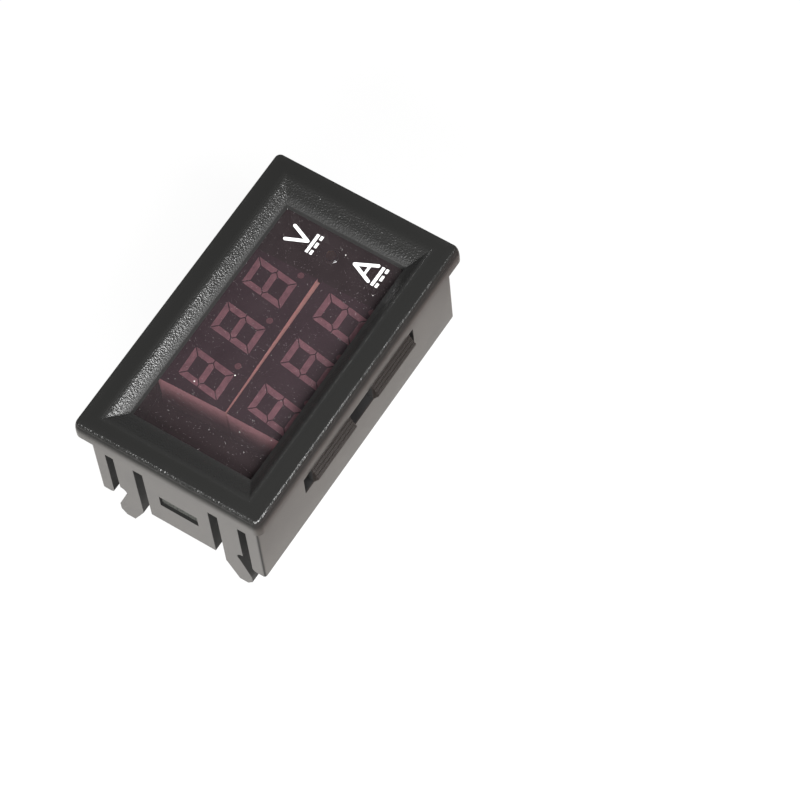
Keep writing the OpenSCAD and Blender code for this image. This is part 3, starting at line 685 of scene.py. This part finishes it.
def solder_fillets():
    """Concave solder round every pin, in place of the CAD node's plain cones."""
    bm = bmesh.new()
    spread, rim, steps = 0.36, 0.03, 5
    for low, high in islands("solder_joints"):
        foot = (high.x - low.x) / 2
        behind = high.z <= BOARD_REAR + 0.1
        start, way = (BOARD_REAR, -1) if behind else (BOARD_FRONT, 1)
        tall = high.z - low.z
        inner = foot - spread
        curve = [(inner, start), (foot, start)]
        for step in range(1, steps + 1):
            share = step / steps
            radius = inner + rim + (foot - inner - rim) * (1 - share) ** 2
            curve.append((radius, start + way * tall * share))
        curve.append((inner, start + way * tall))
        turned(bm, centre(low, high), curve, 24)
    return piece("solder_fillets", bm, SOLDER, ("solder_joints",))


def pin_pads():
    """A ring of tinned copper round every pin on the board's rear."""
    bm = bmesh.new()
    for node, outer in (("display_pins", 0.34), ("load_header_pins", 0.5),
                        ("supply_header_pins", 0.34)):
        for low, high in islands(node):
            radius = (high.x - low.x) / 2
            ring(bm, centre(low, high), radius, radius + outer, *ON_REAR)
    return piece("pin_pads", bm, SOLDER)


def pad_box(low, high, room):
    """The box of a copper pad that is a little wider than what stands on it."""
    return (Vector((low.x - room, low.y - room, ON_REAR[0])),
            Vector((high.x + room, high.y + room, ON_REAR[1])))


def lead_pads():
    """A tinned pad under every chip lead and every chip part's cap."""
    bm = bmesh.new()
    room, under_cap = 0.12, 0.42
    for low, high in islands("chip_leads"):
        block(bm, *pad_box(low, high, room))
    for node in ("chip_resistors", "chip_capacitors"):
        for low, high in islands(node):
            for end_low, end_high in end_boxes(*pad_box(low, high, room), under_cap + room):
                block(bm, end_low, end_high)
    return piece("lead_pads", bm, SOLDER)


def fan_out():
    """Short masked tracks from the two wide chips' leads to vias, and the vias."""
    tracks, vias = bmesh.new(), bmesh.new()
    for node in ("microcontroller", "amplifier_chip"):
        chip_low, chip_high = box_mm(node)
        middle = (chip_low + chip_high) / 2
        reach = (chip_high - chip_low) / 2 + Vector((0.1, 1.2, 0))
        beside = [pair for pair in islands("chip_leads")
                  if abs(centre(*pair)[0] - middle.x) < reach.x
                  and abs(centre(*pair)[1] - middle.y) < reach.y]
        for number, (low, high) in enumerate(beside):
            x = centre(low, high)[0]
            side = 1 if low.y > middle.y else -1
            start_y = high.y if side > 0 else low.y
            length = 0.45 if number % 4 < 2 else 0.85
            end = (x + (x - middle.x) * 0.16, start_y + side * length)
            stroke(tracks, (x, start_y), end, 0.2, *PRINT)
            ring(vias, end, 0.12, 0.27, *ON_REAR)
    piece("fan_out_tracks", tracks, TRACK)
    piece("vias", vias, SOLDER)


def current_path():
    """Wide tinned copper that joins each load pin to the shunt and the board's edge."""
    bm = bmesh.new()
    width, leg_in = 2.2, 0.75
    # Each stroke and disc has a height of its own, because equal heights would flicker
    bars, rounds, layer_step = BOARD_REAR - 0.016, BOARD_REAR - 0.024, 0.004
    pins = [centre(low, high) for low, high in islands("load_header_pins")]
    shunt_low, shunt_high = box_mm("shunt_bar")
    leg_y = centre(shunt_low, shunt_high)[1]
    legs = [(shunt_low.x + leg_in, leg_y), (shunt_high.x - leg_in, leg_y)]
    for pin, leg in zip(pins, legs):
        bend = (pin[0], leg[1] - abs(leg[0] - pin[0]))
        points = (pin, bend, leg)
        for layer, (start, end) in enumerate(zip(points, points[1:])):
            stroke(bm, start, end, width, bars - layer_step * layer, BOARD_REAR)
        for layer, at in enumerate(points):
            disc(bm, at, width / 2, rounds - layer_step * layer, BOARD_REAR, 32)
    return piece("current_path", bm, SOLDER)


def outline(bm, low, high, width=0.14):
    """A thin printed rectangle."""
    corners = [(low[0], low[1]), (high[0], low[1]), (high[0], high[1]), (low[0], high[1])]
    for start, end in zip(corners, corners[1:] + corners[:1]):
        stroke(bm, start, end, width, *PRINT)


def silkscreen():
    """Printed outlines round the parts, and a dot at each chip's first lead."""
    bm = bmesh.new()
    rooms = {
        "microcontroller": (0.25, -0.1), "amplifier_chip": (0.25, -0.1),
        "voltage_regulator": (0.3, -0.1), "supply_diode": (0.25, 0.1),
        "load_header": (0.25, 0.25), "supply_header": (0.25, 0.25),
        "volts_trimmer_base": (0.25, 0.25), "amps_trimmer_base": (0.25, 0.25),
    }
    for node, room in rooms.items():
        low, high = box_mm(node)
        outline(bm, (low.x - room[0], low.y - room[1]), (high.x + room[0], high.y + room[1]))
    for node in ("microcontroller", "amplifier_chip"):
        low, high = box_mm(node)
        disc(bm, (low.x - 0.7, low.y - 0.5), 0.18, *PRINT)
    return piece("silkscreen", bm, SILK)


def chip_marks():
    """A small round dimple ring on each wide chip, and the diode's pale band."""
    dimples, band = bmesh.new(), bmesh.new()
    for node in ("microcontroller", "amplifier_chip"):
        low, high = box_mm(node)
        ring(dimples, (low.x + 0.65, low.y + 0.65), 0.16, 0.24, low.z - 0.012, low.z + 0.01)
    low, high = box_mm("supply_diode")
    block(band, (low.x + 0.14, low.y + 0.45, low.z - 0.015),
          (high.x - 0.14, low.y + 0.95, low.z + 0.02))
    piece("chip_dimples", dimples, CHIP)
    piece("diode_band", band, SILK)


chip_with_caps("resistor_chips", "chip_resistors", RESISTOR, 0.3, 0.05)
chip_with_caps("capacitor_chips", "chip_capacitors", CAPACITOR, 0.32, 0.03)
solder_fillets()
pin_pads()
lead_pads()
fan_out()
current_path()
silkscreen()
chip_marks()


# ---------------------------------------------------------------- camera, floor and light


def look(camera_at, aim_at, roll_deg):
    """The turn of a camera that looks at a point, rolled about its own axis."""
    turn = (Vector(aim_at) - Vector(camera_at)).to_track_quat("-Z", "Y").to_matrix()
    return turn.to_4x4() @ Matrix.Rotation(math.radians(roll_deg), 4, "Z")


def make_camera():
    """A long lens from the front left, well above the meter."""
    camera_at = (-0.17839, -0.16414, 0.45042)
    aim_at = (0.00062, -0.01990, 0.0232)
    data = bpy.data.cameras.new("camera")
    data.lens = 171.15
    data.sensor_width = 36
    data.clip_start, data.clip_end = 0.01, 20
    camera = bpy.data.objects.new("camera", data)
    bpy.context.scene.collection.objects.link(camera)
    camera.matrix_world = Matrix.Translation(camera_at) @ look(camera_at, aim_at, -6.876)
    bpy.context.scene.camera = camera


def softbox(name, direction, distance, width, height, watts):
    """A softbox that faces the meter from a direction."""
    data = bpy.data.lights.new(name, "AREA")
    data.shape = "RECTANGLE"
    data.size, data.size_y = width, height
    data.energy = watts
    lamp = bpy.data.objects.new(name, data)
    bpy.context.scene.collection.objects.link(lamp)
    at = Vector(direction).normalized() * distance
    lamp.matrix_world = Matrix.Translation(at) @ look(at, (0, 0, 0.015), 0)


def floor_finish():
    """White wherever it is seen. Mirrored in the meter, it carries painted shade and reflection:
    warm, darker and redder towards the front as a painted shadow, and dimming with distance.
    """
    f = Finish("floor", (0.92, 0.92, 0.91), 0.9)
    x, y, _ = f.parts(f.place())
    half_length, half_depth = 23, 13
    front = (y * -1 - half_depth).larger(0) * 2.2
    away = ((abs(x) - half_length).larger(0) ** 2
            + ((y - half_depth).larger(0) + front) ** 2) ** 0.5
    rays = f.node("LightPath").socket.node.outputs
    glossy = Wire(f, rays["Is Glossy Ray"])
    through = Wire(f, rays["Is Transmission Ray"])
    direct = Wire(f, rays["Is Camera Ray"]).larger(through)
    # Painted shade and reflection for mirrored rays: warm near the meter, darker and redder
    # towards the front as a painted shadow, dim far off
    near = f.mix(front.rises(0, 6), (0.88, 0.85, 0.82), (0.64, 0.595, 0.56))
    far_painted_shade = f.mix(front.rises(0, 20), (0.09, 0.087, 0.084), (0.15, 0.085, 0.075))
    mirrored_painted_shade = f.mix(away.rises(8, 32), near, far_painted_shade)
    colour = f.mix(direct, mirrored_painted_shade, (1.0, 1.0, 1.0))
    white = f.node("Emission", inputs={"Color": colour, "Strength": 1.0})
    share = glossy * 0.95 + direct * 0.93
    both = f.node("MixShader", inputs={0: share, 1: Wire(f, f.shader.outputs[0]), 2: white})
    f.feed(f.tree.nodes["Material Output"].inputs["Surface"], both)
    return f


def make_floor():
    """A wide pale floor that keeps the meter's soft shadow."""
    bm = bmesh.new()
    bmesh.ops.create_grid(bm, x_segments=1, y_segments=1, size=3)
    mesh = bpy.data.meshes.new("floor")
    bm.to_mesh(mesh)
    bm.free()
    floor = bpy.data.objects.new("floor", mesh)
    bpy.context.scene.collection.objects.link(floor)
    floor.location.z = -0.0002
    mesh.materials.append(floor_finish().material)


def make_world():
    """Studio air: dark at the horizon, pale above it and dimmer overhead."""
    world = bpy.data.worlds.new("studio")
    bpy.context.scene.world = world
    world.use_nodes = True
    tree = world.node_tree
    background = tree.nodes["Background"]
    coordinates = tree.nodes.new("ShaderNodeTexCoord")
    split = tree.nodes.new("ShaderNodeSeparateXYZ")
    ramp = tree.nodes.new("ShaderNodeValToRGB")
    stops = ((0.0, 0.10), (0.3, 0.35), (0.6, 0.5), (0.86, 0.12))
    while len(ramp.color_ramp.elements) < len(stops):
        ramp.color_ramp.elements.new(0.5)
    for element, (height, grey) in zip(ramp.color_ramp.elements, stops):
        element.position = height
        element.color = (grey, grey, grey, 1)
    tree.links.new(coordinates.outputs["Generated"], split.inputs[0])
    tree.links.new(split.outputs["Z"], ramp.inputs["Fac"])
    tree.links.new(ramp.outputs["Color"], background.inputs["Color"])
    background.inputs["Strength"].default_value = 1.0


make_camera()
make_floor()
make_world()
softbox("front_softbox", (-0.05, -0.66, 0.74), 0.16, 0.045, 0.08, 0.38)
softbox("left_softbox", (-0.82, -0.28, 0.52), 0.45, 0.2, 0.2, 3.9)

bpy.context.scene.view_settings.view_transform = "Standard"
